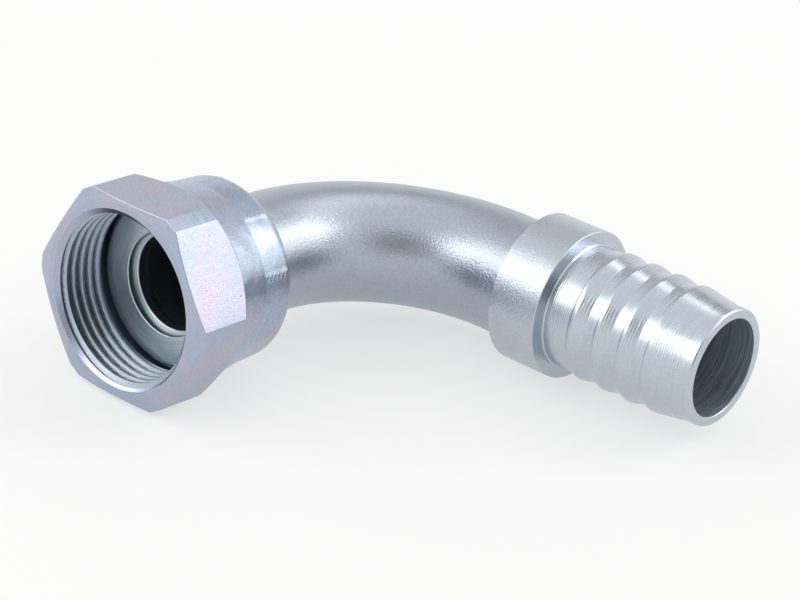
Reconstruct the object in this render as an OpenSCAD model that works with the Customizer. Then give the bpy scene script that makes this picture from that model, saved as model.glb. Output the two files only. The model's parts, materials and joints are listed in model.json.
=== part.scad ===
// Hydraulic hose elbow: a face seal swivel nut, a 90 degree bent tube and a ribbed hose tail.
// Millimetres. The nut's axis is the Y axis and its mouth looks along -Y.
// The origin is on that axis where the full thread starts, and the tail runs along +X.

/* [Layout] */
// Nut's front face to the tail's axis
drop = 76.9; // [70:0.1:110]
// Nut's axis to the tail's open end
reach = 91.8; // [88:0.1:130]
// Bend radius of the tube's centre line
bend_r = 36.5; // [30:0.1:40]

/* [Tube] */
// Outside diameter of the tube
tube_od = 25.4; // [24:0.1:26]
// Wall of the tube
tube_wall = 2.77; // [2:0.01:3.5]

/* [Swivel nut] */
// Hexagon across flats
hex_af = 41.3; // [40:0.1:44]
// Diameter that the hexagon's corners are turned down to
hex_corner_d = 45.9; // [45:0.1:47]
// Diameter of the flat ring on the front face
front_ring_d = 39.8; // [39:0.1:40]
// Angle of the front chamfer from the face
front_chamfer_angle = 15; // [10:1:30]
// Front face to the rear end of the hexagon's corners
hex_len = 12.1; // [11:0.1:15]
// Angle of the rear chamfer from the axis
rear_chamfer_angle = 45; // [35:1:55]
// Diameter of the skirt where it leaves the rear chamfer
skirt_root_d = 41.0; // [40:0.1:41.2]
// Front face to the band that the dies pressed down
land_start = 21.7; // [20:0.1:23]
// Diameter of the skirt just in front of that band
skirt_end_d = 38.9; // [38.5:0.1:39.5]
// Depth of the small step where that band starts
land_step = 0.06; // [0.02:0.01:0.2]
// Length of that band
land_len = 5.9; // [5:0.1:6.5]
// Taper of that band, over its whole length, on the diameter
land_taper = 0.5; // [0:0.1:1]
// Front face to the rear face
nut_len = 29.8; // [29:0.1:34]
// Fall of the rounded rear shoulder, on the radius
rear_round_fall = 1.0; // [0.5:0.1:1.5]

/* [Nut thread] */
// Major diameter of the thread
thread_major = 36.51; // [36:0.01:37]
// Pitch of the thread
thread_pitch = 2.117; // [1.5:0.001:2.5]
// Front face to the end of the thread
thread_end = 11.6; // [10:0.1:12.5]
// Diameter of the countersink at the mouth
mouth_d = 37.1; // [37:0.1:38]
// Length of the undercut behind the thread
undercut_len = 3.4; // [2:0.1:4]
// Depth of the undercut past the thread's major diameter, on the radius
undercut_depth = 0.15; // [0.05:0.05:0.4]
// Chamfer at the mouth of the rear hole
rear_edge = 0.5; // [0.2:0.1:1]

/* [Sealing head] */
// Diameter of the head and its flat face
head_d = 34.0; // [33:0.1:34.1]
// Front face of the nut to the sealing face
head_recess = 13.1; // [12.6:0.1:15]
// Length of the head's cylinder
head_len = 6.4; // [5:0.1:7]
// Diameter of the head at the rear end of its cone
head_rear_d = 28.4; // [28:0.1:30]
// Chamfer on the edge of the sealing face
head_edge = 0.35; // [0.1:0.05:0.6]
// Diameter of the port in the sealing face
port_d = 21.5; // [21:0.1:22.5]
// Depth of the port
port_depth = 2.0; // [1.5:0.1:3]
// Chamfer at the port's mouth
port_edge = 0.25; // [0.1:0.05:0.5]
// Sealing face to the end of the tube in its socket
head_socket_seat = 5.0; // [4:0.1:6]

/* [Hose tail] */
// Diameter of the collar
collar_d = 32.0; // [31:0.1:35]
// Length of the collar
collar_len = 11.6; // [10:0.1:14]
// Chamfer on the collar's two edges
collar_edge = 0.25; // [0.1:0.05:0.6]
// Depth of the tube's socket in the collar
tail_socket_depth = 9.0; // [7:0.1:9.5]
// Bore through the tail
tail_bore_d = 20.8; // [19:0.1:21.5]
// Tail's length in front of the collar
tail_len = 35.7; // [35:0.1:40]
// Diameter of the small step ring on the collar's face
step_ring_d = 26.9; // [26.5:0.1:28]
// Length of that ring
step_ring_len = 0.45; // [0.2:0.05:1]
// Diameter of the neck
neck_d = 26.4; // [26:0.1:26.8]
// Number of ribs in front of the neck
rib_count = 3; // [2:1:3]
// Collar's face to the first rib's rear wall
first_rib = 6.7; // [6:0.1:8]
// Distance from rib to rib
rib_pitch = 6.1; // [5.8:0.1:6.5]
// Diameter over the ribs
rib_d = 27.6; // [27:0.1:28.5]
// Diameter in the grooves between the ribs
groove_d = 26.0; // [25:0.1:26.2]
// Rounding of a rib's rear edge
rib_edge = 0.3; // [0.1:0.05:0.5]
// Rear wall to the front end of the narrow land on each rib
rib_land = 0.8; // [0.6:0.1:1.2]
// Length of the slope from that land to the groove
rib_slope = 3.0; // [2.5:0.1:3.5]
// Radius between the land and the slope
crest_round = 1.2; // [0.8:0.1:2]
// Radius between the slope and the groove
groove_round = 0.8; // [0.5:0.1:1.2]
// Diameter of the last rib, where the long taper starts
taper_crest_d = 27.2; // [26.8:0.1:27.4]
// Diameter of the short pilot at the end
pilot_d = 25.0; // [24:0.1:25.2]
// Length of that pilot
pilot_len = 2.9; // [1:0.1:4]
// Rounding of the tail's end
end_round = 0.6; // [0.2:0.1:1]
// Chamfer at the bore's mouth
bore_edge = 0.3; // [0.1:0.05:0.6]

/* [Fits] */
// Gap on the radius between the head and the nut that turns on it
swivel_gap = 0.08; // [0.05:0.01:0.1]
// Slack of the nut along its axis behind the head's cone
swivel_slack = 0.3; // [0.2:0.05:0.6]
// Gap on the radius between the tube and the nut's rear hole
tube_gap = 0.3; // [0.2:0.05:0.5]
// Gap on the radius of the brazed sockets
braze_gap = 0.05; // [0.02:0.01:0.1]

/* [Hidden] */
$fn = 96;

// Radii
tube_r = tube_od / 2;
tube_bore_r = tube_r - tube_wall;
thread_depth = 0.54127 * thread_pitch;
thread_minor_r = thread_major / 2 - thread_depth;
undercut_r = thread_major / 2 + undercut_depth;
head_r = head_d / 2;
guide_r = head_r + swivel_gap;
rear_hole_r = tube_r + tube_gap;
socket_r = tube_r + braze_gap;

// Stations along the nut's axis
face_y = -(mouth_d / 2 - thread_minor_r);
seal_y = face_y + head_recess;
tube_start_y = seal_y + head_socket_seat;
tail_axis_y = face_y + drop;
bend_start_y = tail_axis_y - bend_r;

// Stations along the tail's axis
collar_face_x = reach - tail_len;
collar_rear_x = collar_face_x - collar_len;
tube_end_x = collar_rear_x + tail_socket_depth;

// Room round a cut so that no two faces coincide
over = 1;

// Points of an arc from angle a to angle b
function arc(centre, r, a, b, steps) =
    [for (i = [0 : steps]) let (t = a + (b - a) * i / steps) centre + r * [cos(t), sin(t)]];

// A profile of [radius, station] points, turned round the nut's axis
module turned_on_nut(profile) {
    rotate([-90, 0, 0]) rotate_extrude() polygon(profile);
}

// The same, turned round the tail's axis
module turned_on_tail(profile) {
    translate([0, tail_axis_y, 0]) rotate([0, 90, 0]) rotate_extrude() polygon(profile);
}

// Nut: front ring and chamfer, full corners, rear chamfer, skirt, pressed band, rounded rear
ring_r = front_ring_d / 2;
corner_r = hex_corner_d / 2;
skirt_root_r = skirt_root_d / 2;
skirt_end_r = skirt_end_d / 2;
front_chamfer_len = (corner_r - ring_r) * tan(front_chamfer_angle);
rear_chamfer_len = (corner_r - skirt_root_r) / tan(rear_chamfer_angle);
land_end_r = skirt_end_r - land_step - land_taper / 2;
land_end = land_start + land_len;

// An arc that leaves the band smoothly and falls by rear_round_fall to the rear face
round_len = nut_len - land_end;
round_r = (pow(round_len, 2) + pow(rear_round_fall, 2)) / (2 * rear_round_fall);
round_angle = asin(round_len / round_r);

module nut_blank() {
    turned_on_nut(concat(
        [
            [0, face_y],
            [ring_r, face_y],
            [corner_r, face_y + front_chamfer_len],
            [corner_r, face_y + hex_len],
            [skirt_root_r, face_y + hex_len + rear_chamfer_len],
            [skirt_end_r, face_y + land_start - land_step],
            [skirt_end_r - land_step, face_y + land_start]
        ],
        arc([land_end_r - round_r, face_y + land_end], round_r, 0, round_angle, 6),
        [[0, face_y + nut_len]]
    ));
}

// The hexagon bar, turned to the blank's profile: the skirt lies inside the six flats
module nut_outside() {
    intersection() {
        nut_blank();
        translate([0, face_y - over, 0]) rotate([-90, 0, 0])
            cylinder(r = hex_af / 2 / cos(30), h = nut_len + 2 * over, $fn = 6);
    }
}

// Inside: countersink, thread bore, undercut, guide for the head, cone behind it, rear hole
undercut_start = face_y + thread_end;
undercut_end = undercut_start + undercut_len;
guide_end = seal_y + head_len + swivel_slack;
rear_end = face_y + nut_len;

module nut_inside() {
    turned_on_nut([
        [0, face_y - over],
        [mouth_d / 2 + over, face_y - over],
        [mouth_d / 2, face_y],
        [thread_minor_r, 0],
        [thread_minor_r, undercut_start],
        [undercut_r, undercut_start + (undercut_r - thread_minor_r)],
        [undercut_r, undercut_end],
        [guide_r, undercut_end + (undercut_r - guide_r)],
        [guide_r, guide_end],
        [rear_hole_r, guide_end + (guide_r - rear_hole_r)],
        [rear_hole_r, rear_end - rear_edge],
        [rear_hole_r + rear_edge, rear_end],
        [rear_hole_r + rear_edge + over, rear_end + over],
        [0, rear_end + over]
    ]);
}

module swivel_nut() {
    color([0.78, 0.78, 0.86]) difference() {
        nut_outside();
        nut_inside();
    }
}

// Head: flat sealing face, port and its step, socket for the tube, cone behind
module sealing_head() {
    cone_start = seal_y + head_len;
    head_end = cone_start + (head_r - head_rear_d / 2);
    color([0.72, 0.76, 0.8]) turned_on_nut([
        [port_d / 2 + port_edge, seal_y],
        [head_r - head_edge, seal_y],
        [head_r, seal_y + head_edge],
        [head_r, cone_start],
        [head_rear_d / 2, head_end],
        [socket_r, head_end],
        [socket_r, tube_start_y],
        [tube_bore_r, tube_start_y],
        [tube_bore_r, seal_y + port_depth],
        [port_d / 2, seal_y + port_depth],
        [port_d / 2, seal_y + port_edge]
    ]);
}

// Tube: the cut ends seat in the head and in the collar
module tube_ring() {
    difference() {
        circle(r = tube_r);
        circle(r = tube_bore_r);
    }
}

module elbow_tube() {
    color([0.75, 0.77, 0.8]) union() {
        translate([0, tube_start_y, 0]) rotate([-90, 0, 0])
            linear_extrude(bend_start_y - tube_start_y) tube_ring();
        translate([bend_r, bend_start_y, 0]) rotate([0, 0, 90])
            rotate_extrude(angle = 90) translate([bend_r, 0]) tube_ring();
        translate([bend_r, tail_axis_y, 0]) rotate([0, 90, 0])
            linear_extrude(tube_end_x - bend_r) tube_ring();
    }
}

// Tail: each rib has a steep wall behind, a narrow land and a straight slope in front.
// The slope's angle makes it run into both of its rounds.
rib_r = rib_d / 2;
groove_r = groove_d / 2;
rounds = crest_round + groove_round;
rounds_gap = rounds - (rib_r - groove_r);
slope_angle = asin(rounds / norm([rib_slope, rounds_gap])) - atan2(rounds_gap, rib_slope);

// From the foot of the rear wall at x over the land to the groove in front
function rib(x) =
    concat(
        [[groove_r, x]],
        arc([rib_r - rib_edge, x + rib_edge], rib_edge, -90, 0, 3),
        arc([rib_r - crest_round, x + rib_land], crest_round, 0, slope_angle, 3),
        arc([groove_r + groove_round, x + rib_land + rib_slope], groove_round, 180 + slope_angle, 180, 3)
    );

// The last rib runs out in the long taper, in line with its round
first_rib_x = collar_face_x + first_rib;
last_rib_x = first_rib_x + rib_count * rib_pitch;
last_crest = [taper_crest_d / 2 - crest_round, last_rib_x + rib_land];
taper_end = [pilot_d / 2, reach - pilot_len];
to_taper_end = taper_end - last_crest;
taper_angle = atan2(to_taper_end[1], to_taper_end[0]) - acos(crest_round / norm(to_taper_end));

// The wall at the end carries both roundings, so a thin one gets smaller roundings
pilot_wall = (pilot_d - tail_bore_d) / 2;
tail_round = min(end_round, pilot_wall / 2);
tail_edge = min(bore_edge, pilot_wall / 3);

module hose_tail() {
    color([0.78, 0.8, 0.84]) turned_on_tail(concat(
        [
            [socket_r, collar_rear_x],
            [collar_d / 2 - collar_edge, collar_rear_x],
            [collar_d / 2, collar_rear_x + collar_edge],
            [collar_d / 2, collar_face_x - collar_edge],
            [collar_d / 2 - collar_edge, collar_face_x],
            [step_ring_d / 2, collar_face_x],
            [step_ring_d / 2, collar_face_x + step_ring_len],
            [neck_d / 2, collar_face_x + step_ring_len + (step_ring_d - neck_d) / 2],
            [neck_d / 2, first_rib_x - (neck_d / 2 - groove_r)]
        ],
        [for (i = [0 : rib_count - 1]) each rib(first_rib_x + i * rib_pitch)],
        [[groove_r, last_rib_x]],
        arc([taper_crest_d / 2 - rib_edge, last_rib_x + rib_edge], rib_edge, -90, 0, 3),
        arc(last_crest, crest_round, 0, taper_angle, 3),
        [taper_end],
        arc([pilot_d / 2 - tail_round, reach - tail_round], tail_round, 0, 90, 4),
        [
            [tail_bore_d / 2 + tail_edge, reach],
            [tail_bore_d / 2, reach - tail_edge],
            [tail_bore_d / 2, tube_end_x],
            [socket_r, tube_end_x]
        ]
    ));
}

swivel_nut();
sealing_head();
elbow_tube();
hose_tail();
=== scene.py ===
"""A hydraulic hose elbow in zinc plated steel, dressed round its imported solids.

Four pieces are modelled: the swivel nut, the sealing head, the bent tube and the hose tail.
Every length is in metres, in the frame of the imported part: the nut's axis is Y with its mouth
towards -Y, the tail runs along +X, and the plane of the bend is level.
"""

import json
import math

import bmesh
import bpy
from bpy.props import FloatProperty, FloatVectorProperty, IntProperty, PointerProperty, StringProperty
from mathutils import Matrix, Vector


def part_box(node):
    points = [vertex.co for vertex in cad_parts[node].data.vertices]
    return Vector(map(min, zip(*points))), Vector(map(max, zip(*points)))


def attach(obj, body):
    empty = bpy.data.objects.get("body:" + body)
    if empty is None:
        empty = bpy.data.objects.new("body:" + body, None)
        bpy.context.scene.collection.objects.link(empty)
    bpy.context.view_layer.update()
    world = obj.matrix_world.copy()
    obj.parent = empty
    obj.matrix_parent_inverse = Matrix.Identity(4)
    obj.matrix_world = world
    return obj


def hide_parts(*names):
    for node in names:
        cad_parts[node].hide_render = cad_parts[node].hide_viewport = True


bl_info = {
    "name": "Hydraulic hose elbow",
    "version": (1, 0, 0),
    "blender": (4, 5, 0),
    "location": "3D View > Sidebar > Hose elbow",
    "description": "Models a zinc plated hydraulic hose elbow and the studio round it",
    "category": "Add Mesh",
}

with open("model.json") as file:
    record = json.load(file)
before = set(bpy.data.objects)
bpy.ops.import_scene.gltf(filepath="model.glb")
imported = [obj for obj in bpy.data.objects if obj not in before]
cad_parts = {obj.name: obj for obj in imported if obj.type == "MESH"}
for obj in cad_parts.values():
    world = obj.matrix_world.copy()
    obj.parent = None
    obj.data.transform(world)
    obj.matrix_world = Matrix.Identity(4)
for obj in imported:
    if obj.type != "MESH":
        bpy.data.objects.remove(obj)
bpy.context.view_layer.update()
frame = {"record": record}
NUT_LOW, NUT_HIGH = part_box("swivel_nut")
HEAD_LOW, HEAD_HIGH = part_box("sealing_head")
TUBE_LOW, TUBE_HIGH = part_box("elbow_tube")
TAIL_LOW, TAIL_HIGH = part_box("hose_tail")
MOUNTS = {mount["name"]: mount for mount in frame["record"]["mounts"]}

MM = 0.001
TAIL_AXIS_Y = (TAIL_LOW.y + TAIL_HIGH.y) / 2
NEAR = 0.01 * MM
SHARP_ANGLE = math.radians(12)
NUT_STEPS = 360
TURNED_STEPS = 256
# Depth of an internal thread of 60 degrees, in pitches
THREAD_DEPTH = 0.54127

# Local frames in which every turned piece has its axis along Z
NUT_FRAME = Matrix.Rotation(math.radians(-90), 4, "X")
TAIL_FRAME = Matrix.Translation((0, TAIL_AXIS_Y, 0)) @ Matrix.Rotation(math.radians(90), 4, "Y")


# Sizes and colours that a user would change


def length(name, mm, description):
    """A property that holds a length, with its default in millimetres."""
    return FloatProperty(
        name=name, description=description, default=mm * MM, min=0, precision=5, unit="LENGTH",
    )


def angle(name, degrees, description):
    """A property that holds an angle."""
    return FloatProperty(name=name, description=description, default=math.radians(degrees), subtype="ANGLE")


def colour(name, code, description):
    """A property that holds a colour as its sRGB hex code."""
    return StringProperty(name=name, description=description, default=code)


class NutSizes(bpy.types.PropertyGroup):
    """Sizes of the swivel nut, measured from its front face."""

    across_flats: length("Across flats", (NUT_HIGH.z - NUT_LOW.z) / MM, "Width of the hexagon")
    corner_diameter: length("Across corners", (NUT_HIGH.x - NUT_LOW.x) / MM, "Diameter of the turned corners")
    nut_length: length("Length", (NUT_HIGH.y - NUT_LOW.y) / MM, "Front face to rear face")
    ring_diameter: length("Front ring", 39.8, "Diameter of the flat ring on the front face")
    front_angle: angle("Front chamfer", 15, "Angle of the front chamfer from the face")
    rear_angle: angle("Rear chamfer", 45, "Angle of the rear chamfer from the axis")
    hexagon_length: length("Hexagon length", 12.1, "Front face to the end of the corners")
    skirt_root: length("Skirt root", 41.0, "Diameter of the skirt behind the rear chamfer")
    skirt_end: length("Skirt end", 38.9, "Diameter of the skirt in front of the pressed band")
    band_start: length("Band start", 21.7, "Front face to the pressed band")
    band_length: length("Band length", 5.9, "Length of the pressed band")
    band_step: length("Band step", 0.06, "Depth of the step where the band starts")
    band_taper: length("Band taper", 0.25, "Fall of the band's radius over its length")
    shoulder_fall: length("Shoulder fall", 1.0, "Fall of the rounded rear shoulder")
    die_count: IntProperty(name="Dies", description="Dies that pressed the band", default=9, min=2)
    die_gap: angle("Die gap", 6.0, "Angle of the strip left between two dies")
    die_ridge: length("Die ridge", 0.07, "Height of that strip above the band")
    first_gap: angle("First gap", 17, "Angle of the first strip, from +X towards +Z")
    mouth_diameter: length("Mouth", 37.1, "Diameter of the countersink")
    thread_major: length("Thread major", 36.51, "Major diameter of the thread")
    thread_pitch: length("Thread pitch", 2.117, "Pitch of the thread")
    thread_end: length("Thread end", 11.6, "Front face to the end of the thread")
    undercut_length: length("Undercut", 3.4, "Length of the undercut behind the thread")
    undercut_depth: length("Undercut depth", 0.15, "Depth past the major diameter")
    guide_radius: length("Guide", 17.08, "Radius of the bore round the sealing head")
    guide_end: length("Guide end", 19.8, "Front face to the end of that bore")
    rear_hole_radius: length("Rear hole", 13.0, "Radius of the hole round the tube")
    edge: length("Edge", 0.13, "Width of the worn edges of the hexagon")


class HeadSizes(bpy.types.PropertyGroup):
    """Sizes of the sealing head, measured from its sealing face."""

    head_diameter: length("Head", (HEAD_HIGH.x - HEAD_LOW.x) / MM, "Diameter of the sealing head")
    cylinder_length: length("Cylinder", 6.4, "Length of the head in front of its cone")
    rear_diameter: length("Rear end", 28.4, "Diameter at the end of the cone")
    face_edge: length("Face edge", 0.35, "Rounding of the sealing face's edge")
    port_diameter: length("Port", 21.5, "Diameter of the port")
    port_depth: length("Port depth", 2.0, "Depth of the port to its inner lip")
    port_edge: length("Port edge", 0.25, "Rounding of the port's mouth")
    lip_round: length("Lip", 0.35, "Rounding of the inner lip")
    socket_seat: length("Socket seat", 5.0, "Sealing face to the end of the tube")
    socket_radius: length("Socket", 12.75, "Radius of the socket round the tube")


class TubeSizes(bpy.types.PropertyGroup):
    """Sizes of the bent tube."""

    outside_diameter: length("Diameter", (TUBE_HIGH.z - TUBE_LOW.z) / MM, "Outside diameter of the tube")
    wall: length("Wall", 2.77, "Wall of the tube")
    bend_radius: length("Bend radius", 36.5, "Radius of the centre line")
    round_steps: IntProperty(name="Round steps", description="Faces round the tube", default=128, min=16)
    bend_steps: IntProperty(name="Bend steps", description="Faces along the bend", default=96, min=8)


class TailSizes(bpy.types.PropertyGroup):
    """Sizes of the ribbed hose tail."""

    collar_diameter: length("Collar", (TAIL_HIGH.z - TAIL_LOW.z) / MM, "Diameter of the collar")
    collar_length: length("Collar length", 11.6, "Length of the collar")
    collar_edge: length("Collar edge", 0.25, "Rounding of the collar's edges")
    socket_depth: length("Socket depth", 9.0, "Depth of the tube's socket")
    socket_radius: length("Socket", 12.75, "Radius of the socket round the tube")
    bore_diameter: length("Bore", 20.8, "Bore through the tail")
    ring_diameter: length("Step ring", 26.9, "Diameter of the step ring on the collar's face")
    ring_length: length("Step ring length", 0.45, "Length of the step ring")
    neck_diameter: length("Neck", 26.4, "Diameter of the neck")
    rib_count: IntProperty(name="Ribs", description="Ribs in front of the long taper", default=3, min=1)
    first_rib: length("First rib", 6.7, "Collar's face to the first rib's rear wall")
    rib_pitch: length("Rib pitch", 6.1, "Distance from rib to rib")
    rib_radius: length("Rib radius", MOUNTS["hose_barb"]["dims"]["r_mm"], "Radius over the ribs")
    groove_diameter: length("Groove", 26.0, "Diameter in the grooves")
    wall_foot: length("Wall foot", 0.15, "Radius between a groove and the next rear wall")
    rib_edge: length("Rib edge", 0.3, "Rounding of a rib's rear edge")
    rib_land: length("Rib land", 0.8, "Rear wall to the front end of the rib's narrow land")
    rib_slope: length("Rib slope", 3.0, "Length of the slope from that land to the groove")
    crest_round: length("Crest round", 1.2, "Radius between the land and the slope")
    groove_round: length("Groove round", 0.8, "Radius between the slope and the groove")
    taper_crest: length("Taper crest", 27.2, "Diameter of the last rib, where the long taper starts")
    pilot_diameter: length("Pilot", 25.0, "Diameter of the short pilot at the end")
    pilot_length: length("Pilot length", 2.9, "Length of that pilot")
    end_round: length("End round", 0.6, "Rounding of the tail's end")
    bore_edge: length("Bore edge", 0.3, "Rounding of the bore's mouth")


class FinishColours(bpy.types.PropertyGroup):
    """Colours of the plating, the floor and the cards, as sRGB hex codes."""

    silver: colour("Silver", "#ACB4BF", "Zinc on the drawn tube")
    lavender: colour("Lavender", "#B5B5C6", "Passivated zinc where it looks violet")
    sky: colour("Sky", "#AAB6C8", "Passivated zinc where it looks blue")
    rose: colour("Rose", "#BAB4C4", "Passivated zinc where it looks pink")
    # Painted light: the tube's zinc painted lighter, so that the hose tail looks more brightly lit than the
    # lamps make it
    bright: colour("Bright", "#BDC5CE", "Brighter zinc of the hose tail")
    slate: colour("Slate", "#A8B4BF", "Zinc in the thread and behind it")
    # Painted light: zinc painted much lighter than the thread's, so that the head's face deep in the nut
    # looks more lit than it is
    faced: colour("Faced", "#D2DCE2", "Zinc on the sealing head's faces")
    raw: colour("Raw", "#7A8388", "Bare steel inside the tube")
    # Painted light: bare steel painted much lighter than the steel inside the tube, so that the deep bore
    # looks lit
    bored: colour("Bored", "#AEBAC4", "Bored steel inside the tail")
    floor: colour("Floor", "#F4F4F4", "Floor of the studio")
    flag: colour("Flag", "#C8C8C8", "Grey card beside the camera")
    dark_flag: colour("Dark flag", "#505050", "Dark card the size of the camera")
    back_flag: colour("Back flag", "#E0E0E0", "Pale grey card behind the piece")
    strip_flag: colour("Strip flag", "#484848", "Narrow dark card beside the right softbox")


class StageSizes(bpy.types.PropertyGroup):
    """Camera, lights and floor."""

    azimuth: angle("Azimuth", 37.664, "Camera's azimuth")
    elevation: angle("Elevation", 23.991, "Camera's elevation")
    roll: angle("Roll", 7.323, "Camera's roll")
    distance: length("Distance", 533.6, "Camera to the point that it looks at")
    target: FloatVectorProperty(
        name="Target", description="Point that the camera looks at", subtype="TRANSLATION",
        default=(32.44 * MM, 45.83 * MM, 0),
    )
    focal_length: FloatProperty(name="Focal length", description="In millimetres", default=119.2, min=1)
    floor_size: length("Floor size", 3000, "Side of the floor")
    backlight: FloatProperty(
        name="Backlight", description="Share of plain white in the floor", default=0.6, min=0, max=1,
    )
    ambient: FloatProperty(name="Ambient", description="Light level of the room", default=0.7, min=0)


class ElbowSettings(bpy.types.PropertyGroup):
    """All settings of the hose elbow."""

    nut: PointerProperty(type=NutSizes)
    head: PointerProperty(type=HeadSizes)
    tube: PointerProperty(type=TubeSizes)
    tail: PointerProperty(type=TailSizes)
    colours: PointerProperty(type=FinishColours)
    stage: PointerProperty(type=StageSizes)


# Shapes


def arc(centre, radius, start, end, steps):
    """Points of an arc in the (radius, station) plane, from one angle to another, in degrees."""
    points = []
    for step in range(steps + 1):
        turn = math.radians(start + (end - start) * step / steps)
        points.append((centre[0] + radius * math.cos(turn), centre[1] + radius * math.sin(turn)))
    return points


def turned(profile, steps):
    """A bmesh of a closed (radius, station) profile spun round Z."""
    bm = bmesh.new()
    verts = [bm.verts.new((radius, 0, station)) for radius, station in profile]
    for here, there in zip(verts, verts[1:] + verts[:1]):
        bm.edges.new((here, there))
    bmesh.ops.spin(
        bm, geom=bm.verts[:] + bm.edges[:], cent=(0, 0, 0), axis=(0, 0, 1), angle=math.tau,
        steps=steps, use_merge=True,
    )
    bmesh.ops.recalc_face_normals(bm, faces=bm.faces[:])
    return bm


def as_object(bm, name, materials=()):
    """Links a bmesh to the scene as an object, and frees the bmesh."""
    mesh = bpy.data.meshes.new(name)
    bm.to_mesh(mesh)
    bm.free()
    for material in materials:
        mesh.materials.append(material)
    made = bpy.data.objects.new(name, mesh)
    bpy.context.collection.objects.link(made)
    return made


def finished(bm, name, matrix, body, node, materials, paint=None):
    """Turns a bmesh into a smooth piece in its place, which rides on a body and replaces a CAD node."""
    if paint:
        for face in bm.faces:
            face.material_index = paint(face)
    bmesh.ops.transform(bm, matrix=matrix, verts=bm.verts[:])
    for face in bm.faces:
        face.smooth = True
    piece = as_object(bm, name, materials)
    piece.data.set_sharp_from_angle(angle=SHARP_ANGLE)
    normals = piece.modifiers.new("Flat faces stay flat", "WEIGHTED_NORMAL")
    normals.keep_sharp = True
    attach(piece, body)
    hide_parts(node)
    return piece


def radius_of(point):
    """Distance of a point from the Z axis."""
    return math.hypot(point.x, point.y)


# Materials


def linear(code):
    """An sRGB hex code as a linear colour with alpha."""
    values = [int(code[place:place + 2], 16) / 255 for place in (1, 3, 5)]
    return [v / 12.92 if v <= 0.04045 else ((v + 0.055) / 1.055) ** 2.4 for v in values] + [1.0]


def per(size_mm):
    """The texture scale at which one feature is this many millimetres wide."""
    return 1 / (size_mm * MM)


def add(tree, kind, inputs=None, links=None, **settings):
    """Adds a node with its settings, socket values and links; a source node stands for its first output."""
    node = tree.nodes.new("ShaderNode" + kind)
    for name, value in settings.items():
        setattr(node, name, value)
    for name, value in (inputs or {}).items():
        node.inputs[name].default_value = value
    for name, source in (links or {}).items():
        socket = source.outputs[0] if isinstance(source, bpy.types.Node) else source
        tree.links.new(socket, node.inputs[name])
    return node


def start_material(name):
    """An empty node material with a Principled shader."""
    material = bpy.data.materials.new(name)
    material.use_nodes = True
    tree = material.node_tree
    tree.nodes.clear()
    shader = add(tree, "BsdfPrincipled")
    add(tree, "OutputMaterial", links={"Surface": shader})
    return material, tree, shader


def start_metal(name, base, roughness):
    """A metal material of one colour, and the place that its patterns follow."""
    material, tree, shader = start_material(name)
    shader.inputs["Metallic"].default_value = 1.0
    shader.inputs["Base Color"].default_value = linear(base)
    shader.inputs["Roughness"].default_value = roughness
    return material, tree, shader, add(tree, "TexCoord").outputs["Object"]


def lathe_place(tree, place, matrix):
    """A point's station along the lathe's axis, its radius from it, and the point in the lathe's frame."""
    back = matrix.inverted()
    local = add(tree, "Mapping", links={"Vector": place},
                inputs={"Location": back.to_translation(), "Rotation": back.to_euler()})
    parts = add(tree, "SeparateXYZ", links={"Vector": local})
    across = add(tree, "CombineXYZ", links={"X": parts.outputs["X"], "Y": parts.outputs["Y"]})
    radius = add(tree, "VectorMath", operation="LENGTH", links={"Vector": across})
    return parts.outputs["Z"], radius.outputs["Value"], local


def rough_height(tree, place, size_mm, depth_mm, detail=2.0):
    """A random relief in metres, its bumps about this wide and this deep."""
    noise = add(tree, "TexNoise", inputs={"Scale": per(size_mm), "Detail": detail, "Roughness": 0.6},
                links={"Vector": place})
    return add(tree, "Math", operation="MULTIPLY", links={0: noise}, inputs={1: depth_mm * MM})


def pit_height(tree, place, spacing_mm, radius_mm, depth_mm):
    """Single small pits in metres, spread at random about this far apart."""
    cells = add(tree, "TexVoronoi", inputs={"Scale": per(spacing_mm)}, links={"Vector": place})
    edge = radius_mm / spacing_mm
    return add(tree, "MapRange", links={"Value": cells},
               inputs={"From Min": 0.3 * edge, "From Max": edge, "To Min": -depth_mm * MM, "To Max": 0.0})


def relief(tree, shader, *heights):
    """Bumps the shader by the sum of heights in metres."""
    total = heights[0]
    for height in heights[1:]:
        total = add(tree, "Math", operation="ADD", links={0: total, 1: height})
    bump = add(tree, "Bump", links={"Height": total}, inputs={"Distance": 1.0})
    tree.links.new(bump.outputs["Normal"], shader.inputs["Normal"])


def shade(tree, shader, source, spread):
    """Makes the base colour lighter and darker by this share as a source around 0.5 rises and falls."""
    value = add(tree, "MapRange", links={"Value": source},
                inputs={"From Min": 0.3, "From Max": 0.7, "To Min": 1 - spread, "To Max": 1 + spread})
    base = shader.inputs["Base Color"]
    tinted = add(tree, "HueSaturation", links={"Value": value})
    if base.is_linked:
        tree.links.new(base.links[0].from_socket, tinted.inputs["Color"])
    else:
        tinted.inputs["Color"].default_value = base.default_value
    tree.links.new(tinted.outputs["Color"], base)


def speckle(tree, shader, place, size_mm, spread):
    """Zinc grains of this size, each a little lighter or darker than the colour."""
    grains = add(tree, "TexNoise", inputs={"Scale": per(size_mm), "Detail": 1.0}, links={"Vector": place})
    shade(tree, shader, grains, spread)


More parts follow.
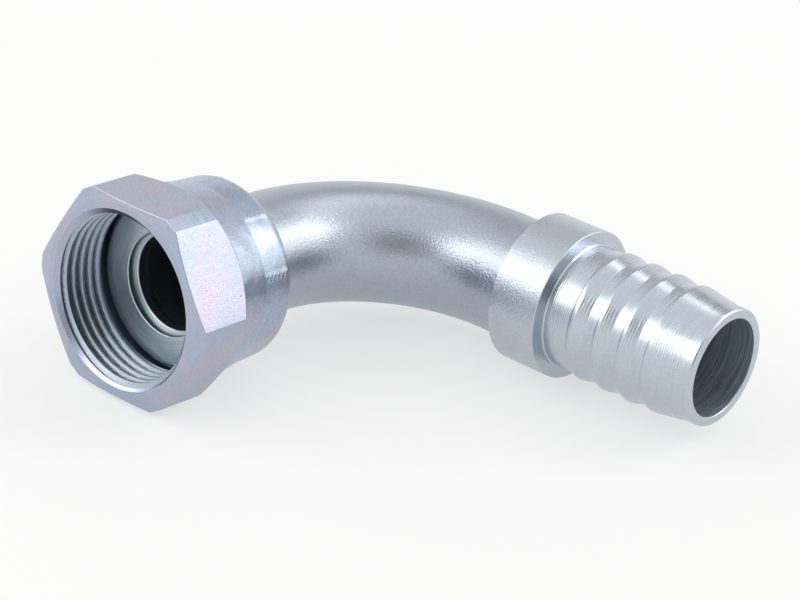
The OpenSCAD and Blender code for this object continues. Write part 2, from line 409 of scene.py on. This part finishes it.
def turned_lines(tree, place, matrix, feed_mm, regular):
    """The tool's feed marks: they follow the station on a barrel and the radius on a face."""
    station, radius, local = lathe_place(tree, place, matrix)
    along = add(tree, "Math", operation="ADD", links={0: station, 1: radius})
    # No line is the same all round: its depth and its place drift over about a quarter of a turn
    drift = add(tree, "TexNoise", inputs={"Scale": per(11), "Detail": 1.0}, links={"Vector": local})
    wander = add(tree, "Math", operation="MULTIPLY_ADD", inputs={1: 2 * feed_mm * MM},
                 links={0: drift, 2: along})
    turns = add(tree, "Math", operation="MULTIPLY", inputs={1: math.tau * per(feed_mm)}, links={0: wander})
    feed = add(tree, "Math", operation="SINE", links={0: turns})
    # Chatter breaks the marks up and makes some deeper than others
    rows = add(tree, "CombineXYZ", links={"X": along})
    steady = add(tree, "VectorMath", operation="SCALE", links={0: local}, inputs={"Scale": 0.09})
    spot = add(tree, "VectorMath", operation="ADD", links={0: rows, 1: steady})
    chatter = add(tree, "TexNoise", inputs={"Scale": per(1.3 * feed_mm), "Detail": 3.0, "Roughness": 0.75},
                  links={"Vector": spot})
    depth = add(tree, "MapRange", links={"Value": chatter},
                inputs={"From Min": 0.35, "From Max": 0.65, "To Min": 0.1 * regular, "To Max": regular})
    marks = add(tree, "Math", operation="MULTIPLY", links={0: feed, 1: depth})
    return add(tree, "Math", operation="ADD", links={0: marks, 1: chatter})


def along_cut(tree, place, matrix):
    """The direction of the tool's cut, round the lathe's axis, for the shader's tangent."""
    axis = matrix.to_3x3() @ Vector((0, 0, 1))
    arm = add(tree, "VectorMath", operation="SUBTRACT", links={0: place}, inputs={1: matrix.to_translation()})
    cut = add(tree, "VectorMath", operation="CROSS_PRODUCT", inputs={1: axis}, links={0: arm})
    return add(tree, "VectorMath", operation="NORMALIZE", links={0: cut}).outputs["Vector"]


def passivated_tint(tree, place, colours, blue):
    """Zinc whose thin passivation film drifts from violet to blue and pink, in patches about 9 mm wide."""
    noise = add(tree, "TexNoise", inputs={"Scale": per(9), "Detail": 2.0}, links={"Vector": place})
    ramp = add(tree, "ValToRGB", links={"Fac": noise})
    stops = ramp.color_ramp.elements
    stops[0].position, stops[0].color = 0.33 + blue, linear(colours.sky)
    stops[1].position, stops[1].color = 0.67 + blue, linear(colours.rose)
    middle = stops.new(0.5 + blue)
    middle.color = linear(colours.lavender)
    return ramp.outputs["Color"]


def turned_zinc(name, matrix, base, line_mm, depth_mm, roughness, regular=0.1, tint=None, torn_mm=0.0,
                stain=0.05):
    """Zinc on turned steel: fine rings round the axis that stretch every highlight across them."""
    material, tree, shader, place = start_metal(name, base, roughness)
    shader.inputs["Anisotropic"].default_value = 0.5
    if tint:
        tree.links.new(passivated_tint(tree, place, tint, blue=0.1), shader.inputs["Base Color"])
    # A tool's feed and the zinc's grain are finer; both are drawn as coarse as they need to be to show
    lines = turned_lines(tree, place, matrix, line_mm, regular)
    smooth, rough = roughness - 0.06, roughness + 0.06
    dull = add(tree, "MapRange", links={"Value": lines},
               inputs={"From Min": 0.3, "From Max": 0.7, "To Min": smooth, "To Max": rough})
    tree.links.new(dull.outputs["Result"], shader.inputs["Roughness"])
    marks = add(tree, "Math", operation="MULTIPLY", links={0: lines}, inputs={1: depth_mm * MM})
    relief(tree, shader, marks, rough_height(tree, place, size_mm=0.3, depth_mm=0.004 + torn_mm))
    speckle(tree, shader, place, size_mm=0.35, spread=0.045)
    shade(tree, shader, lines, stain)
    tree.links.new(along_cut(tree, place, matrix), shader.inputs["Tangent"])
    return material


def die_marks(tree, place, matrix, nut):
    """Short slanting dashes, as a height in metres, on the strips between the dies that pressed the band."""
    dash_mm, along_mm, round_mm = 0.05, 1.2, 2.0
    station, _, local = lathe_place(tree, place, matrix)
    parts = add(tree, "SeparateXYZ", links={"Vector": local})
    turn = add(tree, "Math", operation="ARCTAN2", links={0: parts.outputs["Y"], 1: parts.outputs["X"]})
    apart = math.tau / nut.die_count
    # Whole turns are added, so that the share of a die is never taken of a negative number
    share = add(tree, "Math", operation="MULTIPLY_ADD", links={0: turn},
                inputs={1: -1 / apart, 2: 0.5 - nut.first_gap / apart + 2 * nut.die_count})
    share = add(tree, "Math", operation="FRACT", links={0: share})
    off = add(tree, "Math", operation="SUBTRACT", links={0: share}, inputs={1: 0.5})
    off = add(tree, "Math", operation="ABSOLUTE", links={0: off})
    half_gap = nut.die_gap / apart / 2
    on_strip = add(tree, "MapRange", links={"Value": off}, inputs={
        "From Min": 0.5 * half_gap, "From Max": 0.8 * half_gap, "To Min": 1.0, "To Max": 0.0})
    on_band = add(tree, "MapRange", links={"Value": station},
                  inputs={"From Min": nut.band_start + 0.4 * MM, "From Max": nut.band_start + 0.6 * MM})
    along = add(tree, "Math", operation="MULTIPLY", links={0: station}, inputs={1: math.tau * per(along_mm)})
    slant = add(tree, "Math", operation="MULTIPLY_ADD", links={0: turn, 2: along},
                inputs={1: nut.skirt_end / 2 * math.tau * per(round_mm)})
    wave = add(tree, "Math", operation="SINE", links={0: slant})
    dash = add(tree, "MapRange", links={"Value": wave},
               inputs={"From Min": 0.1, "From Max": 0.9, "To Max": dash_mm * MM})
    dash = add(tree, "Math", operation="MULTIPLY", links={0: dash, 1: on_strip})
    return add(tree, "Math", operation="MULTIPLY", links={0: dash, 1: on_band})


def drawn_zinc(name, colours, grain_mm, depth_mm, roughness, blue=0.0, wave_mm=0.0, pressed=()):
    """Zinc on the skin of a drawn bar: a fine grain with pits, so its highlights are satin and speckled."""
    material, tree, shader, place = start_metal(name, colours.lavender, roughness)
    tree.links.new(passivated_tint(tree, place, colours, blue), shader.inputs["Base Color"])
    # The real grain is finer; it is drawn as coarse as it needs to be to show
    speckle(tree, shader, place, grain_mm, spread=0.14)
    grain = rough_height(tree, place, grain_mm, depth_mm)
    pits = pit_height(tree, place, spacing_mm=1.9, radius_mm=0.2, depth_mm=0.06)
    waves = rough_height(tree, place, size_mm=5, depth_mm=wave_mm, detail=1.0)
    dashes = [die_marks(tree, place, *pressed)] if pressed else []
    relief(tree, shader, grain, pits, waves, *dashes)
    return material


def skin_zinc(name, base, peel_mm, depth_mm, roughness):
    """Zinc on a drawn skin left as it came: an orange peel that breaks up the edge of every highlight."""
    material, tree, shader, place = start_metal(name, base, roughness)
    # The real peel is finer; it is drawn as coarse as it needs to be to show
    speckle(tree, shader, place, peel_mm, spread=0.06)
    peel = rough_height(tree, place, peel_mm, depth_mm)
    dents = rough_height(tree, place, size_mm=3, depth_mm=0.03, detail=1.0)
    pits = pit_height(tree, place, spacing_mm=7, radius_mm=0.3, depth_mm=0.15)
    relief(tree, shader, peel, dents, pits)
    return material


def bored_steel(name, matrix, base):
    """Bored steel, unplated and dulled by oil: a quarter of it scatters light, so that it looks dusty."""
    material = turned_zinc(name, matrix, base, line_mm=0.6, depth_mm=0.08, roughness=0.45, stain=0.4)
    material.node_tree.nodes["Principled BSDF"].inputs["Metallic"].default_value = 0.75
    return material


def seen(tree):
    """1 for the rays by which the camera, metal or glass sees a thing, 0 for those that light it."""
    path = add(tree, "LightPath")
    rays = add(tree, "Math", operation="MAXIMUM",
               links={0: path.outputs["Is Camera Ray"], 1: path.outputs["Is Glossy Ray"]})
    return add(tree, "Math", operation="MAXIMUM", links={0: rays, 1: path.outputs["Is Transmission Ray"]})


def matt_paper(name, code):
    """Matt paper: no gloss, so it shows only its own tone."""
    material, _, shader = start_material(name)
    shader.inputs["Base Color"].default_value = linear(code)
    shader.inputs["Roughness"].default_value = 0.9
    shader.inputs["Specular IOR Level"].default_value = 0.0
    return material


def backlit_paper(name, code, share):
    """A light table's white paper: this share of what is seen is plain white, the rest keeps the shadow."""
    material = matt_paper(name, code)
    tree = material.node_tree
    paper, output = tree.nodes["Principled BSDF"], tree.nodes["Material Output"]
    glow = add(tree, "Emission", inputs={"Color": (1, 1, 1, 1)})
    place = add(tree, "TexCoord").outputs["Object"]
    away = add(tree, "VectorMath", operation="LENGTH", links={"Vector": place})
    # Far from the part no shadow falls, and the paper is lit through evenly
    near, far = 0.15, 0.6
    plain = add(tree, "MapRange", links={"Value": away.outputs["Value"]},
                inputs={"From Min": near, "From Max": far, "To Min": share, "To Max": 1.0})
    level = add(tree, "Math", operation="MULTIPLY", links={0: seen(tree), 1: plain})
    both = add(tree, "MixShader", links={0: level, 1: paper, 2: glow})
    tree.links.new(both.outputs["Shader"], output.inputs["Surface"])
    return material


# Pieces


def minor_radius(nut):
    """Radius to the crests of the nut's thread."""
    return nut.thread_major / 2 - THREAD_DEPTH * nut.thread_pitch


def nut_profile(nut):
    """The nut's closed section, as (radius, station) points from its front face."""
    corner = nut.corner_diameter / 2
    ring = nut.ring_diameter / 2
    mouth = nut.mouth_diameter / 2
    minor = minor_radius(nut)
    undercut = nut.thread_major / 2 + nut.undercut_depth
    root = nut.skirt_root / 2
    end = nut.skirt_end / 2
    band = end - nut.band_step - nut.band_taper
    band_end = nut.band_start + nut.band_length
    shoulder = nut.nut_length - band_end
    shoulder_radius = (shoulder ** 2 + nut.shoulder_fall ** 2) / (2 * nut.shoulder_fall)
    shoulder_angle = math.degrees(math.asin(shoulder / shoulder_radius))
    undercut_end = nut.thread_end + nut.undercut_length
    hole = nut.rear_hole_radius
    hole_edge = 0.5 * MM
    return [
        (ring, 0),
        (corner, (corner - ring) * math.tan(nut.front_angle)),
        (corner, nut.hexagon_length),
        (root, nut.hexagon_length + (corner - root) / math.tan(nut.rear_angle)),
        (end, nut.band_start - nut.band_step),
        (end - nut.band_step, nut.band_start),
        *arc((band - shoulder_radius, band_end), shoulder_radius, 0, shoulder_angle, 8),
        (hole + hole_edge, nut.nut_length),
        (hole, nut.nut_length - hole_edge),
        (hole, nut.guide_end + nut.guide_radius - hole),
        (nut.guide_radius, nut.guide_end),
        (nut.guide_radius, undercut_end + undercut - nut.guide_radius),
        (undercut, undercut_end),
        (undercut, nut.thread_end + undercut - minor),
        (minor, nut.thread_end),
        (minor, mouth - minor),
        (mouth, 0),
    ]


def scale_radius(vert, factor):
    """Moves a vertex to this multiple of its distance from the Z axis."""
    vert.co.x *= factor
    vert.co.y *= factor


def from_flat(point):
    """Angle from the middle of the nearest of the hexagon's flats, which lie at 30 degrees, 90 and so on."""
    turn = math.atan2(point.y, point.x)
    return (turn + math.radians(120)) % math.radians(60) - math.radians(30)


def cut_flats(bm, nut):
    """Slides the two rims of the turned corners in to the hexagon, along the chamfers that end them."""
    corner = nut.corner_diameter / 2
    for vert in bm.verts:
        if abs(radius_of(vert.co) - corner) > NEAR:
            continue
        radius = min(corner, nut.across_flats / 2 / math.cos(from_flat(vert.co)))
        inwards = corner - radius
        front = vert.co.z < nut.hexagon_length / 2
        along = -inwards * math.tan(nut.front_angle) if front else inwards / math.tan(nut.rear_angle)
        scale_radius(vert, radius / corner)
        vert.co.z += along


def raise_die_gaps(bm, nut):
    """Leaves a strip standing on the pressed band wherever two dies met."""
    apart = math.tau / nut.die_count
    for vert in bm.verts:
        radius = radius_of(vert.co)
        inside = radius < nut.skirt_end / 2 - 0.5 * MM
        if inside or vert.co.z < nut.band_start - NEAR:
            continue
        # The nut's local frame is turned so that its Y runs down: the angle changes sign
        turn = -math.atan2(vert.co.y, vert.co.x) - nut.first_gap
        from_gap = (turn + apart / 2) % apart - apart / 2
        if abs(from_gap) < nut.die_gap / 2:
            scale_radius(vert, 1 + nut.die_ridge / radius)


def trim_to_flats(bm, nut):
    """Keeps what the bevel rounded inside the hexagon."""
    for vert in bm.verts:
        radius = radius_of(vert.co)
        if radius > nut.across_flats / 2:
            limit = min(nut.corner_diameter / 2, nut.across_flats / 2 / math.cos(from_flat(vert.co)))
            if radius > limit:
                scale_radius(vert, limit / radius)


def hexagon_edges(bm, nut):
    """The rims of the hexagon's flats and corners, and the lines between flats and corners."""
    rim = nut.across_flats / 2 - NEAR
    past_chamfer = nut.hexagon_length + 3 * MM
    outer = {v for v in bm.verts if radius_of(v.co) > rim and v.co.z < past_chamfer}
    return [e for e in bm.edges if outer.issuperset(e.verts) and e.calc_face_angle(0) > SHARP_ANGLE]


def thread_cutter(nut):
    """A coil with the section of the thread's groove."""
    major = nut.thread_major / 2
    inner = minor_radius(nut) - 0.05 * MM
    root_half = nut.thread_pitch / 16
    open_half = root_half + (major - inner) * math.tan(math.radians(30))
    # The coil starts in front of the nut and runs out in its undercut
    start = -1.8 * nut.thread_pitch
    turns = (nut.thread_end + nut.undercut_length / 2 - start) / nut.thread_pitch
    per_turn = 120
    section = [(inner, -open_half), (major, -root_half), (major, root_half), (inner, open_half)]
    bm = bmesh.new()
    face = bm.faces.new([bm.verts.new((radius, 0, start + station)) for radius, station in section])
    bmesh.ops.spin(
        bm, geom=[face], cent=(0, 0, 0), axis=(0, 0, 1), dvec=(0, 0, nut.thread_pitch / per_turn),
        angle=math.tau * turns, steps=round(per_turn * turns),
    )
    bmesh.ops.recalc_face_normals(bm, faces=bm.faces[:])
    return bm


def subtract(bm, cutter_bm):
    """The first mesh less the second."""
    body = as_object(bm, "body")
    cutter = as_object(cutter_bm, "cutter")
    cut = body.modifiers.new("Cut", "BOOLEAN")
    cut.object = cutter
    cut.operation = "DIFFERENCE"
    cut.solver = "EXACT"
    result = bmesh.new()
    result.from_object(body, bpy.context.evaluated_depsgraph_get())
    for lent in (body, cutter):
        bpy.data.meshes.remove(lent.data)
    return result


class FITTING_OT_swivel_nut(bpy.types.Operator):
    """Model the swivel nut: turned hexagon, tapped mouth and the skirt that dies pressed round the head"""

    bl_idname = "fitting.swivel_nut"
    bl_label = "Swivel nut"

    def execute(self, context):
        settings = context.scene.hose_elbow
        nut, colours = settings.nut, settings.colours
        bm = turned(nut_profile(nut), NUT_STEPS)
        cut_flats(bm, nut)
        raise_die_gaps(bm, nut)
        bmesh.ops.bevel(bm, geom=hexagon_edges(bm, nut), offset=nut.edge, segments=2, profile=0.5,
                        affect="EDGES", material=-1, clamp_overlap=True)
        trim_to_flats(bm, nut)
        bm = subtract(bm, thread_cutter(nut))
        place = Matrix.Translation((0, NUT_LOW.y, 0)) @ NUT_FRAME
        mouth = nut.mouth_diameter / 2
        rear_wall_start = nut.nut_length - 1 * MM
        # The finishes, in the order of the list below
        hexagon, chamfers, thread, skirt, inside = range(5)

        def finish_of(face):
            centre = face.calc_center_median()
            radius = radius_of(centre)
            if radius < mouth and NEAR < centre.z < rear_wall_start:
                countersink = abs(abs(face.normal.z) - math.cos(math.radians(45))) < 0.08
                if countersink and centre.z < mouth - minor_radius(nut):
                    return chamfers
                return thread if centre.z < nut.thread_end else inside
            if centre.z > nut.hexagon_length + 2 * MM:
                return skirt
            upright = abs(face.normal.z) < 0.02 and radius < nut.corner_diameter / 2 - 0.03 * MM
            return hexagon if upright and radius > nut.across_flats / 2 - 0.1 * MM else chamfers

        finished(
            bm, "swivel_nut_plated", place, "nut", "swivel_nut",
            [
                drawn_zinc("Passivated zinc on hexagon bar", colours, grain_mm=0.3,
                           depth_mm=0.05, roughness=0.32),
                turned_zinc("Passivated zinc on turned steel", place, colours.lavender, line_mm=0.5,
                            depth_mm=0.0015, roughness=0.28, regular=0.05, tint=colours),
                turned_zinc("Zinc on tapped thread", place, colours.slate, line_mm=0.5,
                            depth_mm=0.012, roughness=0.30, torn_mm=0.06),
                drawn_zinc("Passivated zinc on pressed steel", colours, grain_mm=0.4, depth_mm=0.03,
                           roughness=0.30, blue=0.14, wave_mm=0.25, pressed=(place, nut)),
                turned_zinc("Zinc inside the nut", place, colours.slate, line_mm=0.5,
                            depth_mm=0.006, roughness=0.32),
            ],
            finish_of,
        )
        return {"FINISHED"}


class FITTING_OT_sealing_head(bpy.types.Operator):
    """Model the sealing head: its flat turned face, the port with its inner lip and the rear cone"""

    bl_idname = "fitting.sealing_head"
    bl_label = "Sealing head"

    def execute(self, context):
        settings = context.scene.hose_elbow
        head, tube, colours = settings.head, settings.tube, settings.colours
        outer = head.head_diameter / 2
        port = head.port_diameter / 2
        bore = tube.outside_diameter / 2 - tube.wall
        total = HEAD_HIGH.y - HEAD_LOW.y
        profile = [
            *arc((port + head.port_edge, head.port_edge), head.port_edge, 180, 270, 9),
            *arc((outer - head.face_edge, head.face_edge), head.face_edge, -90, 0, 9),
            (outer, head.cylinder_length),
            (head.rear_diameter / 2, total),
            (head.socket_radius, total),
            (head.socket_radius, head.socket_seat),
            (bore, head.socket_seat),
            *arc((bore + head.lip_round, head.port_depth + head.lip_round), head.lip_round, 180, 270, 9),
            (port, head.port_depth),
        ]
        place = Matrix.Translation((0, HEAD_LOW.y, 0)) @ NUT_FRAME
        finished(
            turned(profile, TURNED_STEPS), "sealing_head_plated", place,
            "insert", "sealing_head",
            # The head's faces are painted lighter than the zinc round them: painted light inside the nut
            [turned_zinc("Zinc on faced steel", place, colours.faced, line_mm=0.45,
                         depth_mm=0.03, roughness=0.40, stain=0.14)],
        )
        return {"FINISHED"}


def only(kind, geometry):
    """The verts or the faces among mixed geometry."""
    return [each for each in geometry if isinstance(each, kind)]


def pushed(bm, faces, move):
    """Extrudes faces by a vector and gives back the faces at the far end."""
    extruded = bmesh.ops.extrude_face_region(bm, geom=faces)["geom"]
    bmesh.ops.translate(bm, vec=move, verts=only(bmesh.types.BMVert, extruded))
    return only(bmesh.types.BMFace, extruded)


class FITTING_OT_elbow_tube(bpy.types.Operator):
    """Model the bent tube: an extruded wall, bent by a partial spin and extruded on to the collar"""

    bl_idname = "fitting.elbow_tube"
    bl_label = "Elbow tube"

    def execute(self, context):
        settings = context.scene.hose_elbow
        tube, colours = settings.tube, settings.colours
        outer = tube.outside_diameter / 2
        bore = outer - tube.wall
        bend_start = TAIL_AXIS_Y - tube.bend_radius
        bm = bmesh.new()
        for radius in (outer, bore):
            bmesh.ops.create_circle(bm, segments=tube.round_steps, radius=radius)
        bmesh.ops.bridge_loops(bm, edges=bm.edges[:])
        start = Matrix.Translation((0, TUBE_LOW.y, 0)) @ NUT_FRAME
        bmesh.ops.transform(bm, matrix=start, verts=bm.verts[:])
        end = pushed(bm, bm.faces[:], (0, bend_start - TUBE_LOW.y, 0))
        bend = bmesh.ops.spin(
            bm, geom=end, cent=(tube.bend_radius, bend_start, 0), axis=(0, 0, 1), angle=math.radians(-90),
            steps=tube.bend_steps,
        )["geom_last"]
        bmesh.ops.delete(bm, geom=end, context="FACES_ONLY")
        end = only(bmesh.types.BMFace, bend)
        pushed(bm, end, (TUBE_HIGH.x - tube.bend_radius, 0, 0))
        bmesh.ops.delete(bm, geom=end, context="FACES_ONLY")
        bmesh.ops.recalc_face_normals(bm, faces=bm.faces[:])
        middle = outer - tube.wall / 2
        plated, bare = range(2)

        def finish_of(face):
            centre = face.calc_center_median()
            if centre.y < bend_start:
                radius = math.hypot(centre.x, centre.z)
            elif centre.x > tube.bend_radius:
                radius = math.hypot(centre.y - TAIL_AXIS_Y, centre.z)
            else:
                sweep = math.hypot(centre.x - tube.bend_radius, centre.y - bend_start)
                radius = math.hypot(sweep - tube.bend_radius, centre.z)
            return bare if radius < middle else plated

        finished(
            bm, "elbow_tube_plated", Matrix.Identity(4), "insert", "elbow_tube",
            [
                skin_zinc("Zinc on cold drawn tube", colours.silver, peel_mm=0.5,
                          depth_mm=0.08, roughness=0.31),
                skin_zinc("Bare steel inside the tube", colours.raw, peel_mm=0.5,
                          depth_mm=0.03, roughness=0.5),
            ],
            finish_of,
        )
        return {"FINISHED"}


def rear_wall(tail, start, crest):
    """The steep wall behind a rib, from the groove or the neck up to the rib's rounded edge."""
    foot, edge = tail.wall_foot, tail.rib_edge
    return [
        *arc((tail.groove_diameter / 2 + foot, start - foot), foot, 180, 90, 4),
        *arc((crest - edge, start + edge), edge, -90, 0, 5),
    ]


def tail_profile(tail, reach):
    """The tail's closed section, as (radius, station) points from its collar's rear edge."""
    collar = tail.collar_diameter / 2
    edge = tail.collar_edge
    ring = tail.ring_diameter / 2
    neck = tail.neck_diameter / 2
    groove = tail.groove_diameter / 2
    first = tail.collar_length + tail.first_rib
    # The slope's angle makes it run into both of its rounds
    rounds = tail.crest_round + tail.groove_round
    rounds_gap = rounds - (tail.rib_radius - groove)
    slope = math.degrees(math.asin(rounds / math.hypot(tail.rib_slope, rounds_gap))
                         - math.atan2(rounds_gap, tail.rib_slope))
    points = [
        *arc((collar - edge, edge), edge, -90, 0, 6),
        *arc((collar - edge, tail.collar_length - edge), edge, 0, 90, 6),
        (ring, tail.collar_length),
        (ring, tail.collar_length + tail.ring_length),
        (neck, tail.collar_length + tail.ring_length + ring - neck),
        (neck, first - tail.wall_foot - (neck - groove)),
    ]
    for rib in range(tail.rib_count):
        start = first + rib * tail.rib_pitch
        land_end = start + tail.rib_land
        slope_end = land_end + tail.rib_slope
        points += rear_wall(tail, start, tail.rib_radius)
        points += arc((tail.rib_radius - tail.crest_round, land_end), tail.crest_round, 0, slope, 6)
        points += arc((groove + tail.groove_round, slope_end), tail.groove_round, 180 + slope, 180, 6)
    # The last rib runs out in the long taper
    start = first + tail.rib_count * tail.rib_pitch
    crest = (tail.taper_crest / 2 - tail.crest_round, start + tail.rib_land)
    pilot = tail.pilot_diameter / 2
    taper_end = (pilot, reach - tail.pilot_length)
    run = (taper_end[0] - crest[0], taper_end[1] - crest[1])
    lean = math.degrees(math.atan2(run[1], run[0]) - math.acos(tail.crest_round / math.hypot(*run)))
    points += rear_wall(tail, start, tail.taper_crest / 2)
    points += arc(crest, tail.crest_round, 0, lean, 5)
    points.append(taper_end)
    points += arc((pilot - tail.end_round, reach - tail.end_round), tail.end_round, 0, 90, 8)
    bore = tail.bore_diameter / 2
    points += arc((bore + tail.bore_edge, reach - tail.bore_edge), tail.bore_edge, 90, 180, 6)
    points += [
        (bore, tail.socket_depth),
        (tail.socket_radius, tail.socket_depth),
        (tail.socket_radius, 0),
    ]
    return without_repeats(points)


def without_repeats(points):
    """Leaves out each point that repeats the one before it."""
    kept = []
    for point in points:
        if not kept or math.dist(point, kept[-1]) > 0.001 * MM:
            kept.append(point)
    return kept


class FITTING_OT_hose_tail(bpy.types.Operator):
    """Model the hose tail: collar, step ring, ribs with steep rear walls, long taper and bore"""

    bl_idname = "fitting.hose_tail"
    bl_label = "Hose tail"

    def execute(self, context):
        settings = context.scene.hose_elbow
        tail, colours = settings.tail, settings.colours
        reach = TAIL_HIGH.x - TAIL_LOW.x
        place = Matrix.Translation((TAIL_LOW.x, 0, 0)) @ TAIL_FRAME
        # The finishes, in the order of the list below
        ribs, collar, bore = range(3)

        def finish_of(face):
            radius = radius_of(face.calc_center_median())
            if radius < tail.bore_diameter / 2 + 0.02 * MM:
                return bore
            return collar if radius > tail.collar_diameter / 2 - 0.1 * MM else ribs

        finished(
            turned(tail_profile(tail, reach), TURNED_STEPS), "hose_tail_plated", place,
            "insert", "hose_tail",
            [
                # The ribs and the collar are painted lighter than the tube's zinc: painted light on the whole
                # tail
                turned_zinc("Zinc on turned ribs", place, colours.bright, line_mm=0.45,
                            depth_mm=0.029, roughness=0.22, regular=0.25, stain=0.03),
                skin_zinc("Zinc on round bar", colours.bright, peel_mm=0.4, depth_mm=0.062, roughness=0.31),
                # The bore's bare steel is painted lighter: painted light in the deep bore
                bored_steel("Bare steel in the bore", place, colours.bored),
            ],
            finish_of,
        )
        return {"FINISHED"}


# Studio


def facing(azimuth, elevation, distance, aim):
    """A place round the object, turned towards it: the azimuth runs from +Y towards +X."""
    turn, rise = math.radians(azimuth), math.radians(elevation)
    away = Vector((math.sin(turn) * math.cos(rise), math.cos(turn) * math.cos(rise), math.sin(rise)))
    return Matrix.Translation(aim + away * distance) @ away.to_track_quat("Z", "Y").to_matrix().to_4x4()


# Name, azimuth, elevation, half angles across and up, and radiance, with all angles in degrees
SOFTBOXES = (
    ("Left softbox", -133, 32, (36, 15), 1.4),
    ("Left lamp", -165, 39, (9, 9), 1.2),
    ("Right softbox", 43, 27, (22, 25), 0.7),
    ("Right lamp", 45, 38, (18, 9), 1.8),
    ("Back strip", 0, 60, (20, 6), 1.1),
)
SOFTBOX_TINT = (1.0, 1.0, 0.96)
# Name, azimuth, elevation, half angles across and up, and the card's colour
CARDS = (
    ("flag_camera", 142, 26, (27, 20), "flag"),
    ("flag_lens", 138, 26, (7, 6), "dark_flag"),
    ("flag_behind", -55, 44, (32, 13), "back_flag"),
    ("flag_strip", 2, 43, (5, 6), "strip_flag"),
)


def softbox(name, azimuth, elevation, spread, radiance, aim):
    """A soft light of a given radiance that fills a given angle, as seen from the aim."""
    distance = 0.6
    light = bpy.data.lights.new(name, "AREA")
    light.shape = "RECTANGLE"
    light.size, light.size_y = [2 * distance * math.tan(math.radians(half)) for half in spread]
    light.energy = radiance * math.pi * light.size * light.size_y
    light.color = SOFTBOX_TINT
    lamp = bpy.data.objects.new(name, light)
    lamp.matrix_world = facing(azimuth, elevation, distance, aim)
    bpy.context.collection.objects.link(lamp)


def sheet(name, half_size, matrix, material):
    """A square sheet of one material, laid in its place."""
    bm = bmesh.new()
    bmesh.ops.create_grid(bm, x_segments=1, y_segments=1, size=half_size)
    bmesh.ops.transform(bm, matrix=matrix, verts=bm.verts[:])
    return as_object(bm, name, [material])


def flag(name, azimuth, elevation, spread, code, aim):
    """A grey card that the metal reflects, and that neither the camera nor the floor sees."""
    distance = 0.9
    across, up = [distance * math.tan(math.radians(half)) for half in spread]
    place = facing(azimuth, elevation, distance, aim) @ Matrix.Diagonal((across, up, 1, 1))
    card = sheet(name, 1, place, matt_paper("Grey card", code))
    card.visible_camera = False
    card.visible_diffuse = False
    card.visible_shadow = False


class FITTING_OT_stage(bpy.types.Operator):
    """Set the camera, the soft lights and the pale floor that the fitting lies on"""

    bl_idname = "fitting.stage"
    bl_label = "Studio"

    def execute(self, context):
        settings = context.scene.hose_elbow
        stage = settings.stage
        aim = Vector(stage.target)
        self.camera(context.scene, stage, aim)
        self.floor(settings)
        self.room(context.scene, stage)
        for box in SOFTBOXES:
            softbox(*box, aim)
        for *card, tone in CARDS:
            flag(*card, getattr(settings.colours, tone), aim)
        context.scene.view_settings.view_transform = "Standard"
        return {"FINISHED"}

    def camera(self, scene, stage, aim):
        """The camera that matches the photograph's view."""
        turn, rise = stage.azimuth, stage.elevation
        back = Vector((math.sin(turn) * math.cos(rise), -math.cos(turn) * math.cos(rise), math.sin(rise)))
        right = Vector((math.cos(turn), math.sin(turn), 0))
        level = Matrix((right, back.cross(right), back)).transposed()
        data = bpy.data.cameras.new("Camera")
        data.lens = stage.focal_length
        data.sensor_width = 36
        data.clip_start, data.clip_end = 0.01, 20
        camera = bpy.data.objects.new("Camera", data)
        rolled = level @ Matrix.Rotation(stage.roll, 3, "Z")
        camera.matrix_world = Matrix.Translation(aim + back * stage.distance) @ rolled.to_4x4()
        scene.collection.objects.link(camera)
        scene.camera = camera

    def floor(self, settings):
        """The floor, which passes under the rear end of the nut's flat and under the collar."""
        nut, tail = settings.nut, settings.tail
        chamfer = (nut.corner_diameter - nut.across_flats) / 2 / math.tan(nut.rear_angle)
        flat_end = NUT_LOW.y + nut.hexagon_length + chamfer
        rise = nut.across_flats / 2 - tail.collar_diameter / 2
        tilt = math.atan2(rise, TAIL_AXIS_Y - flat_end)
        gap = 0.02 * MM
        place = Matrix.Translation((0, flat_end, NUT_LOW.z - gap)) @ Matrix.Rotation(tilt, 4, "X")
        paper = backlit_paper("White paper", settings.colours.floor, settings.stage.backlight)
        floor = sheet("floor", settings.stage.floor_size / 2, place, paper)

    def room(self, scene, stage):
        """A white room: rays that see it find plain white, and it lights the object at a plain level."""
        world = bpy.data.worlds.new("White room")
        world.use_nodes = True
        tree = world.node_tree
        tree.nodes.clear()
        level = add(tree, "MapRange", links={"Value": seen(tree)},
                    inputs={"To Min": stage.ambient, "To Max": 1.0})
        light = add(tree, "Background", links={"Strength": level}, inputs={"Color": (1, 1, 1, 1)})
        add(tree, "OutputWorld", links={"Surface": light})
        scene.world = world


class FITTING_PT_parts(bpy.types.Panel):
    """The hose elbow's pieces and its studio"""

    bl_label = "Hose elbow"
    bl_space_type = "VIEW_3D"
    bl_region_type = "UI"
    bl_category = "Hose elbow"

    def draw(self, context):
        for operator in OPERATORS:
            self.layout.operator(operator.bl_idname)


GROUPS = (NutSizes, HeadSizes, TubeSizes, TailSizes, FinishColours, StageSizes, ElbowSettings)
OPERATORS = (FITTING_OT_swivel_nut, FITTING_OT_sealing_head, FITTING_OT_elbow_tube, FITTING_OT_hose_tail,
             FITTING_OT_stage)


def register():
    for each in (*GROUPS, *OPERATORS, FITTING_PT_parts):
        bpy.utils.register_class(each)
    bpy.types.Scene.hose_elbow = PointerProperty(type=ElbowSettings)


def unregister():
    del bpy.types.Scene.hose_elbow
    for each in reversed((*GROUPS, *OPERATORS, FITTING_PT_parts)):
        bpy.utils.unregister_class(each)


def main():
    register()
    for make in (bpy.ops.fitting.stage, bpy.ops.fitting.swivel_nut, bpy.ops.fitting.sealing_head,
                 bpy.ops.fitting.elbow_tube, bpy.ops.fitting.hose_tail):
        make()


if __name__ == "__main__":
    main()
